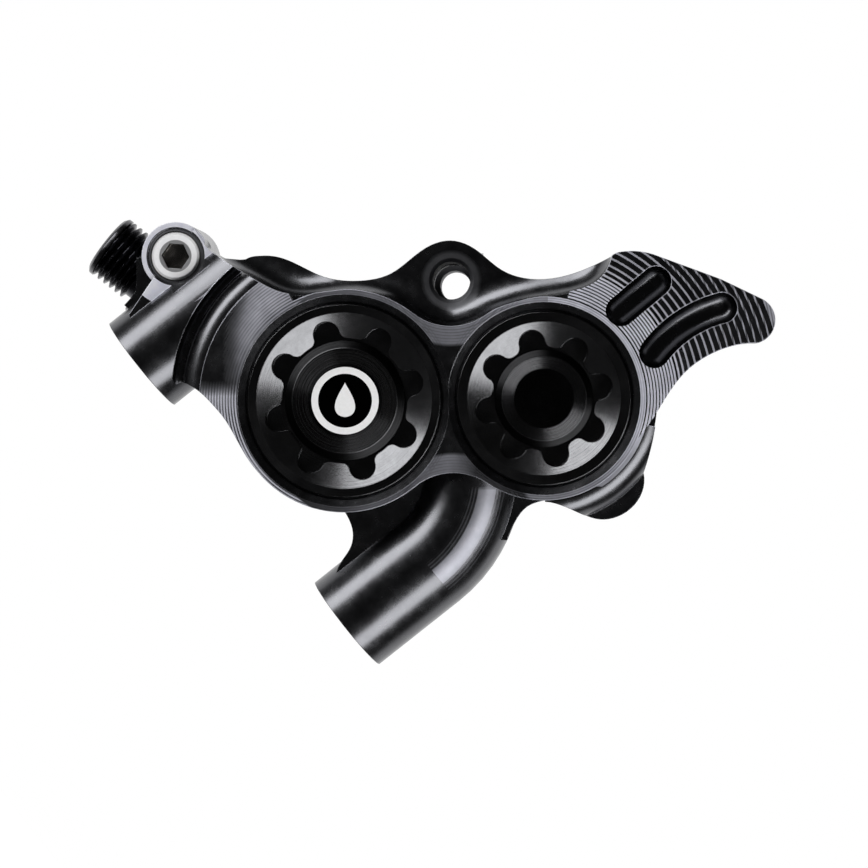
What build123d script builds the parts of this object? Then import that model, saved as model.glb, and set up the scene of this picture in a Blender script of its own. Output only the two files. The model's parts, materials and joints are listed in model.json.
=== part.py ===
from build123d import *
import math
import os

os.makedirs("parts", exist_ok=True)

# Bicycle disc brake caliper: four pistons, one-piece body, rear flat mount for a 140 mm rotor.
# Origin midway between the two mounting threads, on the mount face. +Z leaves the frame tube,
# +Y goes from the outboard face towards the wheel, and the pistons run along Y.

# Mounting posts
mount_spacing = 34.0
boss_radius = 5.35
boss_edge = 0.35
mount_thread_radius = 2.1
mount_thread_depth = 9.0
mount_chamfer_angle = 45.0
left_boss_height = 17.0
shoulder_y = 0.5
right_boss_straight = 10.5
elbow_radius = 11.8
elbow_angle = 62.0

# Line of the bores, seen from outboard
large_bore_x = -0.94
large_bore_z = 14.2
bore_line_angle = 52.24
bore_gap = 5.2

# Depths along Y
face_y = -6.2
lobe_face_drop = 5.2
ear_face_drop = 8.7
arm_floor_drop = 2.8
rotor_plane_y = 14.35
cavity_width = 12.0
far_block_depth = 6.2
far_dome_depth = 10.6
dome_overlap = 0.2
dome_edge = 1.6
cavity_height = 34.0
cavity_corner = 1.5
window_corner = 1.5
web_half_depth = 2.6

# Bores and their caps
cap_land = 2.0
cap_chamfer = 0.72
cap_recess = 0.55
cap_thickness = 3.4
cap_clearance = 0.03
cap_edge = 0.25
cap_dish_depth = 1.3
cap_recess_depth = 2.5
cap_boss_drop = 1.1
cap_shoulder_drop = 0.35
cap_centre_drop = 0.9
cap_lobes = 8
cap_lobe_radius = 1.35
cap_tooth_radius = 0.8
large_cap_flat_width = 1.1
large_cap_valley_inset = 3.65
large_cap_boss_inset = 3.9
large_cap_lip_inset = 4.7
large_cap_centre_inset = 6.4
large_cap_lobe_inset = 3.1
large_cap_lobe_angle = 14.6
small_cap_flat_width = 1.25
small_cap_valley_inset = 3.8
small_cap_boss_inset = 4.05
small_cap_lip_inset = 4.75
small_cap_centre_inset = 6.0
small_cap_lobe_inset = 3.3
small_cap_lobe_angle = 11.5
bore_rim = 0.55
neck_fillet = 6.1

# Pistons and their seals
large_piston_radius = 8.0
small_piston_radius = 7.0
piston_length = 9.0
piston_wall = 2.4
piston_floor = 2.5
piston_edge = 0.4
piston_clearance = 0.04
seal_section = 1.4
seal_width = 2.0
seal_clearance = 0.02
seal_setback = 1.6
chamber_gap = 0.7

# Seal rings under the caps
cap_seal_section_radius = 0.6
cap_seal_inset = 0.95
groove_clearance = 0.05

# Pads and rotor
rotor_reach = 71.5
rotor_slot_width = 3.6
axle_drop = 62.7
backplate_thickness = 1.8
lining_thickness = 2.0
lining_gap = 2.5
pad_end_margin = 0.3
pad_top = 8.2
pad_bottom = 7.6
pad_corner = 2.0
pad_tab_width = 7.2
pad_tab_above_pin = 2.6
lining_inset = 1.0
lining_corner = 1.5
pin_u = 10.78
pin_v = 12.28
pin_ear_radius = 1.95
pin_far_radius = 1.65
pin_ear_chamfer = 0.35
pin_pad_clearance = 0.25
cavity_top_clearance = 0.4
abutment_left = 3.0
window_side_clearance = 1.3
window_top_clearance = 2.6

# Pad spring
spring_thickness = 0.4
spring_clearance = 0.1
spring_leg_width = 1.3
spring_leg_reach = 11.5
spring_top_above_pin = 3.2
spring_waist = 6.4

# Bleed screw and its boss
bleed_u = -17.16
bleed_v = 14.93
bleed_boss_radius = 3.45
bleed_face_drop = 3.0
bleed_screw_radius = 2.5
bleed_screw_length = 4.0
bleed_screw_chamfer = 0.3
bleed_thread_clearance = 0.03
bleed_hex = 2.5
bleed_hex_depth = 1.9
bleed_hex_turn = -5.0
bleed_countersink = 0.3
bleed_nose_radius = 1.2
bleed_seal_section_radius = 0.48
bleed_sunk = 0.08

# Hose connector and its port
port_y = 7.6
port_x = -24.15
port_z = 5.67
port_tilt = 13.7
port_boss_radius = 4.3
port_boss_length = 7.0
port_nut_clearance = 0.15
shoulder_behind_port = 1.4
connector_reach = 5.75
connector_thread_radius = 3.5
connector_core_radius = 3.05
connector_relief = 0.8
connector_chamfer = 0.4
connector_bore_radius = 2.1
connector_drill_radius = 1.0
connector_bore_floor = 0.5
connector_mouth_radius = 2.75
connector_flange_radius = 3.7
connector_flange = 1.0
connector_stem_radius = 2.4
connector_stem = 4.0
connector_clearance = 0.03
connector_seal_section_radius = 0.5

# Fin
fin_back_drop = 7.6
ridge_drop = 0.13
ridge_top_width = 0.2
ridge_start = 0.26
ridge_fine_pitch = 0.32
ridge_fine_count = 10
ridge_pitch_growth = 0.1
ridge_wide_pitch = 0.725
ridge_wide_count = 16
ridge_start_angle = -60.0
ridge_sweep = 157.0
pocket_width = 3.1
pocket_depth = 3.4
pocket_rise = 1.1
pocket_ball_radius = 1.3
trim_reach = 40.0
overrun = 1.0

# Ball-milled corners
ear_ball_radius = 3.0
lobe_ball_radius = 2.5
arm_slope_drop = 0.55
arm_slope_reach = 3.4
arm_ball_radius = 2.1
arm_start_angle = 95.0
arm_sweep = 120.0
arm_flat_width = 0.1
arm_outer_ball_radius = 0.8
arm_low_angle = 218.0
lobe_corner_start = -115.0
lobe_corner_sweep = 100.0

# Directions in degrees where the ear's edge runs along the rims of the bores
large_crest_angles = [105, 85, 65]
small_crest_angles = [118, 92]

# Outline points as shares of the bore spacing, from the large bore's axis,
# first along the line of bores and then square to it
arm_top_shares = [(-0.700, 0.790), (-0.608, 0.718), (-0.440, 0.612), (-0.300, 0.545)]
neck_share = (0.525, 0.372)
ear_reach_share = (0, 1.1)
ear_top_right_shares = [(1.168, 0.540), (1.275, 0.588), (1.342, 0.690), (1.352, 0.790)]
block_left_shares = [(-0.559, 0.640), (-0.525, 0.722), (-0.445, 0.746)]
block_top_shares = [(-0.300, 0.722), (-0.124, 0.637), (0.045, 0.611), (0.218, 0.644), (0.415, 0.782),
                    (0.535, 0.812), (0.650, 0.772), (0.790, 0.660), (1.005, 0.608), (1.200, 0.650),
                    (1.375, 0.728)]
block_right_shares = [(1.480, 0.675), (1.545, 0.540), (1.560, 0.395)]
block_side_shares = [(1.572, -0.060), (1.500, -0.380)]
lobe_shares = [(1.472, -0.520), (1.392, -0.592), (1.284, -0.617), (1.150, -0.570), (1.000, -0.520)]
fin_top_shares = [(1.372, 0.726), (1.460, 0.733), (1.555, 0.716), (1.894, 0.588)]
fin_tip_shares = [(2.103, 0.486), (2.166, 0.385), (2.076, 0.265)]
fin_under_shares = [(1.995, 0.261), (1.875, 0.228), (1.704, 0.119), (1.572, -0.060), (1.455, -0.215)]
pocket_one_shares = [(1.389, 0.432), (1.568, 0.579)]
pocket_two_shares = [(1.553, 0.221), (1.698, 0.356), (1.898, 0.444)]
shoulder_shares = [(-1.069, 0.738), (-1.069, 0.624), (-1.077, 0.569), (-1.104, 0.532), (-1.134, 0.500),
                   (-0.941, 0.322), (-0.545, 0.322), (-0.569, 0.693), (-0.703, 0.723), (-0.817, 0.817)]
web_shares = [(-0.059, -0.894), (-0.024, -0.801), (0.016, -0.740), (0.028, -0.664), (-0.002, -0.577),
              (-0.050, -0.505)]
web_root_share = (0.350, -0.700)
side_shares = [(1.446, -0.248), (1.347, -0.297)]
fin_root_share = (1.150, 0.600)
post_trim_shares = [(-0.866, 0.950), (-0.747, 0.872), (-0.676, 0.764), (-0.620, 0.732), (-0.543, 0.726),
                    (-0.396, 0.738)]
heel_shares = [(0.807, -0.713), (0.852, -0.614), (0.911, -0.545), (0.985, -0.517), (1.059, -0.505)]
arm_outline_shares = [(-0.941, 0.149), (-1.089, 0.446), (-0.916, 0.693), (-0.747, 0.872), (-0.676, 0.764),
                      (-0.620, 0.732), (-0.543, 0.726), (-0.297, 0.594)]
arm_low_shares = [(-0.530, -0.203), (-0.609, -0.069), (-0.658, -0.012), (-0.703, 0.035), (-0.743, 0.067),
                  (-0.787, 0.092), (-0.866, 0.109)]

# Places worked out from the sizes above
line_x = math.cos(math.radians(bore_line_angle))
line_z = math.sin(math.radians(bore_line_angle))
bore_spacing = large_piston_radius + small_piston_radius + bore_gap
large_cap_radius = large_piston_radius + cap_land
small_cap_radius = small_piston_radius + cap_land
large_cap_flat_radius = large_cap_radius - large_cap_flat_width
large_cap_valley_radius = large_cap_radius - large_cap_valley_inset
large_cap_boss_radius = large_cap_radius - large_cap_boss_inset
large_cap_lip_radius = large_cap_radius - large_cap_lip_inset
large_cap_centre_radius = large_cap_radius - large_cap_centre_inset
large_cap_lobe_distance = large_cap_radius - large_cap_lobe_inset
small_cap_flat_radius = small_cap_radius - small_cap_flat_width
small_cap_valley_radius = small_cap_radius - small_cap_valley_inset
small_cap_boss_radius = small_cap_radius - small_cap_boss_inset
small_cap_lip_radius = small_cap_radius - small_cap_lip_inset
small_cap_centre_radius = small_cap_radius - small_cap_centre_inset
small_cap_lobe_distance = small_cap_radius - small_cap_lobe_inset
large_rim_radius = large_cap_radius + cap_chamfer + bore_rim
small_rim_radius = small_cap_radius + cap_chamfer + bore_rim
large_bore_radius = large_piston_radius + piston_clearance
small_bore_radius = small_piston_radius + piston_clearance
lobe_y = face_y + lobe_face_drop
ear_y = face_y + ear_face_drop
arm_floor_y = face_y + arm_floor_drop
fin_back_y = face_y + fin_back_drop
shoulder_back_y = port_y + shoulder_behind_port
bleed_y = face_y + bleed_face_drop
cavity_near_y = rotor_plane_y - cavity_width / 2
cavity_far_y = rotor_plane_y + cavity_width / 2
far_block_y = cavity_far_y + far_block_depth
far_dome_y = cavity_far_y + far_dome_depth
cap_out_y = face_y + cap_recess
cap_in_y = cap_out_y + cap_thickness
pad_half_gap = lining_gap / 2
backplate_back = pad_half_gap + lining_thickness + backplate_thickness
pad_left = -large_piston_radius
pad_right = bore_spacing + small_piston_radius
cavity_left = pad_left - pad_end_margin
cavity_right = pad_right + pad_end_margin
cavity_top = pad_top + cavity_top_clearance
pad_top_inside = pad_top - 2 * pad_corner
lining_width = pad_right - pad_left - 2 * lining_inset
lining_height = pad_top + pad_bottom - 2 * lining_inset
pad_tab_top = pin_v + pad_tab_above_pin
bleed_hole_radius = bleed_screw_radius + bleed_thread_clearance
bleed_screw_y = bleed_y + bleed_sunk
bleed_shoulder_y = bleed_screw_y + bleed_screw_length
bleed_seat_y = bleed_shoulder_y + 2 * bleed_seal_section_radius + seal_clearance
bleed_seal_radius = bleed_nose_radius + seal_clearance + bleed_seal_section_radius
connector_seal_radius = connector_stem_radius + seal_clearance + connector_seal_section_radius
connector_seal_seat_radius = connector_seal_radius + connector_seal_section_radius + seal_clearance
connector_seal_seat_depth = 2 * connector_seal_section_radius + seal_clearance
outer_back_y = rotor_plane_y - backplate_back
inner_back_y = rotor_plane_y + backplate_back
block_left = cavity_left - abutment_left
left_boss_x = -mount_spacing / 2
right_boss_x = mount_spacing / 2
elbow_centre_x = right_boss_x - elbow_radius
elbow_axis = Axis(origin=(elbow_centre_x, 0, right_boss_straight), direction=(0, -1, 0))
chamber_end_y = rotor_plane_y + backplate_back + piston_length + chamber_gap
dome_wall = bore_gap / 2 + dome_overlap
large_dome_radius = large_bore_radius + dome_wall
small_dome_radius = small_bore_radius + dome_wall
window_width = pad_tab_width + 2 * window_side_clearance
window_top = pad_tab_top + window_top_clearance
window_height = 2 * (window_top - cavity_top)
web_y = -web_half_depth
pocket_floor_y = face_y + pocket_rise + pocket_depth
arm_step_radius = large_rim_radius + arm_slope_reach
arm_step_y = face_y + arm_slope_drop
arm_far_radius = arm_step_radius + arm_ball_radius + arm_flat_width + arm_outer_ball_radius
web_back_y = web_half_depth


def facing(y):
    """Plane of the bores at depth y, seen from outboard, with the large bore's axis as its origin."""
    return Plane(origin=(large_bore_x, y, large_bore_z), x_dir=(line_x, 0, line_z), z_dir=(0, -1, 0))


def at(share):
    """A point of an outline from its pair of shares."""
    return (bore_spacing * share[0], bore_spacing * share[1])


def around(centre_u, radius, angle):
    """A point on a circle about a bore, in the plane of the bores."""
    turn = math.radians(angle)
    return (centre_u + radius * math.cos(turn), radius * math.sin(turn))


port_axis = Plane(
    origin=(port_x, port_y, port_z),
    x_dir=(0, 1, 0),
    z_dir=(-math.cos(math.radians(port_tilt)), 0, -math.sin(math.radians(port_tilt))),
)

port_radial = Plane(origin=port_axis.origin, x_dir=(0, 1, 0), z_dir=port_axis.x_dir.cross(port_axis.z_dir))
spring_low_v = pad_top - lining_inset + spring_clearance
spring_top_v = pin_v + spring_top_above_pin
spring_inside_low_v = spring_low_v - overrun
spring_inside_top_v = spring_top_v - spring_thickness
spring_near_y = outer_back_y + backplate_thickness + spring_clearance
spring_far_y = inner_back_y - backplate_thickness - spring_clearance

ear_edge = (
    [at(share) for share in arm_top_shares]
    + [around(0, large_rim_radius, angle) for angle in large_crest_angles]
    + [at(neck_share)]
    + [around(bore_spacing, small_rim_radius, angle) for angle in small_crest_angles]
    + [at(share) for share in ear_top_right_shares]
)
ear_reach = at(ear_reach_share)[1]


def radial(centre_u, angle):
    """Half-plane through a bore's axis at an angle from the line of bores: radius across, Y up."""
    turn = math.radians(bore_line_angle + angle)
    across = (math.cos(turn), 0, math.sin(turn))
    origin = (large_bore_x + centre_u * line_x, 0, large_bore_z + centre_u * line_z)
    return Plane(origin=origin, x_dir=across, z_dir=(-across[2], 0, across[0]))


def cap_plane(centre_u, angle):
    """Floor of a cap's tool recess, with the bore's axis as origin, turned towards one lobe."""
    turn = math.radians(bore_line_angle + angle)
    origin = (
        large_bore_x + centre_u * line_x,
        cap_out_y + cap_recess_depth,
        large_bore_z + centre_u * line_z,
    )
    return Plane(origin=origin, x_dir=(math.cos(turn), 0, math.sin(turn)), z_dir=(0, -1, 0))


def bore_axis(centre_u):
    """Axis of a bore, pointing outboard."""
    origin = (large_bore_x + centre_u * line_x, 0, large_bore_z + centre_u * line_z)
    return Axis(origin=origin, direction=(0, -1, 0))


def radial_at(centre_u, centre_v):
    """Half-plane through an axis at a point of the plane of the bores: radius across, Y up."""
    x = large_bore_x + centre_u * line_x - centre_v * line_z
    z = large_bore_z + centre_u * line_z + centre_v * line_x
    return Plane(origin=(x, 0, z), x_dir=(line_x, 0, line_z), z_dir=(-line_z, 0, line_x))


def axis_at(centre_u, centre_v):
    """Axis through a point of the plane of the bores, pointing outboard."""
    x = large_bore_x + centre_u * line_x - centre_v * line_z
    z = large_bore_z + centre_u * line_z + centre_v * line_x
    return Axis(origin=(x, 0, z), direction=(0, -1, 0))


def chamfered_hole(radius, edge, mouth_y, end_y):
    """Half-section of a hole with a chamfered mouth."""
    with BuildSketch() as section:
        with BuildLine():
            Polyline(
                (0, mouth_y - overrun),
                (radius + edge + overrun, mouth_y - overrun),
                (radius, mouth_y + edge),
                (radius, end_y),
                (0, end_y),
                close=True,
            )
        make_face()
    return section.sketch


def ring_section(inner_radius, outer_radius, start_y, end_y):
    """Rectangular half-section of a ring."""
    with BuildSketch() as section:
        with BuildLine():
            Polyline(
                (inner_radius, start_y),
                (outer_radius, start_y),
                (outer_radius, end_y),
                (inner_radius, end_y),
                close=True,
            )
        make_face()
    return section.sketch


def cap_section(radius, flat_radius, valley_radius, boss_radius, lip_radius, centre_radius, centre_drop):
    """Half-section of a bore cap before its recess is cut: flat rim, dished cone and sloped boss."""
    with BuildSketch() as section:
        with BuildLine():
            Polyline(
                (0, cap_in_y),
                (radius, cap_in_y),
                (radius, cap_out_y + cap_edge),
                (radius - cap_edge, cap_out_y),
                (flat_radius, cap_out_y),
                (valley_radius, cap_out_y + cap_dish_depth),
                (boss_radius, cap_out_y + cap_boss_drop + cap_shoulder_drop),
                (lip_radius, cap_out_y + cap_boss_drop),
                (centre_radius, cap_out_y + cap_boss_drop + centre_drop),
                (0, cap_out_y + cap_boss_drop + centre_drop),
                close=True,
            )
        make_face()
    return section.sketch


def recess_outline(valley_radius, boss_radius, lobe_distance):
    """Outline of a cap's tool recess: eight lobes round the boss, with rounded teeth between them."""
    with BuildSketch() as outline:
        Circle(valley_radius)
        with PolarLocations(lobe_distance, cap_lobes):
            Circle(cap_lobe_radius)
        corners = [corner for corner in outline.vertices() if corner.center().length < lobe_distance]
        fillet(corners, cap_tooth_radius)
        Circle(boss_radius, mode=Mode.SUBTRACT)
    return outline.sketch


def piston_section(radius, back_y, front_y, direction):
    """Half-section of a piston: a cup that is open towards its pad."""
    with BuildSketch() as section:
        with BuildLine():
            Polyline(
                (0, back_y),
                (radius - piston_edge, back_y),
                (radius, back_y + direction * piston_edge),
                (radius, front_y),
                (radius - piston_wall, front_y),
                (radius - piston_wall, back_y + direction * piston_floor),
                (0, back_y + direction * piston_floor),
                close=True,
            )
        make_face()
    return section.sketch


def backplate_outline():
    """Outline of a pad's backplate with its tab and pin hole."""
    with BuildSketch() as outline:
        with Locations(((pad_left + pad_right) / 2, (pad_top - pad_bottom) / 2)):
            RectangleRounded(pad_right - pad_left, pad_top + pad_bottom, pad_corner)
        with Locations((pin_u, (pad_top_inside + pad_tab_top) / 2)):
            RectangleRounded(pad_tab_width, pad_tab_top - pad_top_inside, pad_corner)
        with Locations((pin_u, pin_v)):
            Circle(pin_ear_radius + pin_pad_clearance, mode=Mode.SUBTRACT)
    return outline.sketch


def cap_seal_section(cap_radius):
    """Round section of the seal ring under a cap."""
    with BuildSketch() as section:
        with Locations((cap_radius - cap_seal_inset, cap_in_y + cap_seal_section_radius + seal_clearance)):
            Circle(cap_seal_section_radius)
    return section.sketch


def piston_seal_section(piston_radius, start_y):
    """Square section of the seal in a bore's groove that starts at depth start_y."""
    inner_radius = piston_radius + seal_clearance
    outer_radius = piston_radius + piston_clearance + seal_section - seal_clearance
    end_y = start_y + seal_width
    return ring_section(inner_radius, outer_radius, start_y + seal_clearance, end_y - seal_clearance)


def lining_outline():
    """Outline of a pad's lining, set in from the backplate."""
    with BuildSketch() as outline:
        with Locations(((pad_left + pad_right) / 2, (pad_top - pad_bottom) / 2)):
            RectangleRounded(lining_width, lining_height, lining_corner)
    return outline.sketch


def bore_outline(large_radius, small_radius):
    """Two circles about the bores with the necks between them rounded."""
    with BuildSketch() as outline:
        Circle(large_radius)
        with Locations((bore_spacing, 0)):
            Circle(small_radius)
        fillet(outline.vertices().sort_by(Axis.X)[0:2], neck_fillet)
    return outline.sketch


def block_outline(low_shares):
    """Outline of the block that spans the rotor, closed under the small bore by the points given."""
    with BuildSketch() as outline:
        with BuildLine():
            left_line = Spline([at(share) for share in block_left_shares])
            crest_line = Spline([left_line @ 1] + [at(share) for share in block_top_shares])
            right_line = Spline([crest_line @ 1] + [at(share) for share in block_right_shares])
            side_line = Spline([right_line @ 1] + [at(share) for share in block_side_shares])
            lobe_line = Spline([side_line @ 1] + [at(share) for share in low_shares])
            Polyline(lobe_line @ 1, (bore_spacing, 0), (0, 0), (block_left, 0), left_line @ 0)
        make_face()
        add(bore_outline(large_rim_radius, small_rim_radius))
    return outline.sketch


def near_bore(cap_radius, piston_radius):
    """Half-section of a bore that is open outboard: cap thread, ring groove, piston bore, seal groove."""
    bore_radius = piston_radius + piston_clearance
    ring_centre = cap_radius - cap_seal_inset
    ring_half = cap_seal_section_radius + groove_clearance
    ring_floor_y = cap_in_y + 2 * (cap_seal_section_radius + seal_clearance)
    seal_y = cavity_near_y - seal_setback
    with BuildSketch() as section:
        with BuildLine():
            Polyline(
                (0, face_y - overrun),
                (cap_radius + cap_chamfer + overrun, face_y - overrun),
                (cap_radius, face_y + cap_chamfer),
                (cap_radius, cap_in_y),
                (ring_centre + ring_half, cap_in_y),
                (ring_centre + ring_half, ring_floor_y),
                (ring_centre - ring_half, ring_floor_y),
                (ring_centre - ring_half, cap_in_y),
                (bore_radius, cap_in_y),
                (bore_radius, seal_y - seal_width),
                (bore_radius + seal_section, seal_y - seal_width),
                (bore_radius + seal_section, seal_y),
                (bore_radius, seal_y),
                (bore_radius, cavity_near_y + overrun),
                (0, cavity_near_y + overrun),
                close=True,
            )
        make_face()
    return section.sketch


def far_bore(piston_radius):
    """Half-section of a bore that is closed on the wheel side: seal groove and piston bore."""
    bore_radius = piston_radius + piston_clearance
    seal_y = cavity_far_y + seal_setback
    with BuildSketch() as section:
        with BuildLine():
            Polyline(
                (0, cavity_far_y - overrun),
                (bore_radius, cavity_far_y - overrun),
                (bore_radius, seal_y),
                (bore_radius + seal_section, seal_y),
                (bore_radius + seal_section, seal_y + seal_width),
                (bore_radius, seal_y + seal_width),
                (bore_radius, chamber_end_y),
                (0, chamber_end_y),
                close=True,
            )
        make_face()
    return section.sketch


def ridge_profile():
    """Ridges of the fin's face as radius and depth: flat tops, and slopes that widen away from the bore."""
    depth = face_y
    points = [(small_rim_radius, depth)]
    middle = small_rim_radius + ridge_start
    pitch = ridge_fine_pitch
    for step in range(ridge_fine_count + ridge_wide_count):
        depth += ridge_drop
        points.append((middle - ridge_top_width / 2, depth))
        points.append((middle + ridge_top_width / 2, depth))
        if step >= ridge_fine_count - 1:
            pitch = min(pitch + ridge_pitch_growth, ridge_wide_pitch)
        middle += pitch
    return points + [(trim_reach, depth)]


def arm_outline():
    """Outline of the arm to the left post, from the large bore's rim."""
    with BuildSketch() as outline:
        with BuildLine():
            low_start = around(0, large_rim_radius, arm_low_angle)
            low_line = Spline([low_start] + [at(share) for share in arm_low_shares])
            Polyline([low_line @ 1] + [at(share) for share in arm_outline_shares] + [(0, 0), low_line @ 0])
        make_face()
    return outline.sketch


# Cutter for the ear side: its floor meets the plateau's wall in a ball-milled corner
with BuildPart() as ear_cutter:
    with BuildSketch(facing(ear_y)):
        with BuildLine():
            edge_line = Spline(ear_edge)
            Polyline(
                edge_line @ 1,
                ((edge_line @ 1).X, ear_reach),
                ((edge_line @ 0).X, ear_reach),
                edge_line @ 0,
            )
        make_face()
    extrude(amount=ear_face_drop + overrun)
    fillet(ear_cutter.faces().sort_by(Axis.Y)[-1].edges(), ear_ball_radius)


# Cutter for the arm on the left: a slight cone about the large bore, then a ball-milled step
with BuildPart() as arm_cutter:
    with BuildSketch(radial(0, arm_start_angle)):
        with BuildLine():
            Polyline(
                (arm_step_radius, arm_floor_y - arm_ball_radius),
                (arm_step_radius, arm_step_y),
                (large_rim_radius, face_y),
                (large_rim_radius, face_y - overrun),
                (arm_far_radius, face_y - overrun),
                (arm_far_radius, arm_floor_y - arm_outer_ball_radius),
            )
            RadiusArc(
                (arm_far_radius, arm_floor_y - arm_outer_ball_radius),
                (arm_far_radius - arm_outer_ball_radius, arm_floor_y),
                -arm_outer_ball_radius,
            )
            Line(
                (arm_far_radius - arm_outer_ball_radius, arm_floor_y),
                (arm_step_radius + arm_ball_radius, arm_floor_y),
            )
            RadiusArc(
                (arm_step_radius + arm_ball_radius, arm_floor_y),
                (arm_step_radius, arm_floor_y - arm_ball_radius),
                arm_ball_radius,
            )
        make_face()
    revolve(axis=bore_axis(0), revolution_arc=arm_sweep)


# Cutter for the fin's face: ridges about the small bore that step down outwards
with BuildPart() as ridge_cutter:
    with BuildSketch(radial(bore_spacing, ridge_start_angle)):
        with BuildLine():
            Polyline(
                ridge_profile() + [(trim_reach, face_y - overrun), (small_rim_radius, face_y - overrun)],
                close=True,
            )
        make_face()
    revolve(axis=bore_axis(bore_spacing), revolution_arc=ridge_sweep)


# Ball-milled corner between the small bore's wall and the lobe below it
with BuildPart() as lobe_corner:
    with BuildSketch(radial(bore_spacing, lobe_corner_start)):
        with BuildLine():
            Polyline(
                (small_rim_radius, lobe_y - lobe_ball_radius),
                (small_rim_radius - overrun, lobe_y - lobe_ball_radius),
                (small_rim_radius - overrun, lobe_y),
                (small_rim_radius + lobe_ball_radius, lobe_y),
            )
            RadiusArc(
                (small_rim_radius + lobe_ball_radius, lobe_y),
                (small_rim_radius, lobe_y - lobe_ball_radius),
                lobe_ball_radius,
            )
        make_face()
    revolve(axis=bore_axis(bore_spacing), revolution_arc=lobe_corner_sweep)
    with BuildSketch(facing(lobe_y)):
        add(block_outline(lobe_shares))
    extrude(amount=lobe_ball_radius, mode=Mode.INTERSECT)


# Left mounting post, trimmed along the top of the arm
with BuildPart() as left_post:
    with BuildSketch(Plane.XY):
        with Locations((left_boss_x, 0)):
            Circle(boss_radius)
    extrude(amount=left_boss_height)
    with BuildSketch(facing(boss_radius)):
        with BuildLine():
            crest_line = Spline([at(share) for share in post_trim_shares])
            Polyline(
                crest_line @ 1,
                (0, -trim_reach),
                (-trim_reach, -trim_reach),
                (-trim_reach, trim_reach),
                crest_line @ 0,
            )
        make_face()
    extrude(amount=2 * boss_radius, mode=Mode.INTERSECT)


# Right mounting post with its elbow up to the neck
with BuildPart() as right_post:
    with BuildSketch(Plane.XY):
        with Locations((right_boss_x, 0)):
            Circle(boss_radius)
    extrude(amount=right_boss_straight)
    with BuildSketch(Plane.XY.offset(right_boss_straight)):
        with Locations((right_boss_x, 0)):
            Circle(boss_radius)
    revolve(axis=elbow_axis, revolution_arc=elbow_angle)


# Pockets in the fin, with rounded floors
with BuildPart() as pocket_cutter:
    with BuildSketch(facing(pocket_floor_y)):
        with BuildLine(mode=Mode.PRIVATE) as first_path:
            Line(at(pocket_one_shares[0]), at(pocket_one_shares[1]))
        SlotCenterPoint(first_path.line @ 0.5, first_path.line @ 1, pocket_width)
        with BuildLine(mode=Mode.PRIVATE) as second_path:
            ThreePointArc(at(pocket_two_shares[0]), at(pocket_two_shares[1]), at(pocket_two_shares[2]))
        SlotArc(second_path.edges()[0], pocket_width)
    extrude(amount=pocket_floor_y - face_y + overrun)
    fillet(pocket_cutter.faces().sort_by(Axis.Y)[-2:].edges(), pocket_ball_radius)


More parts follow.
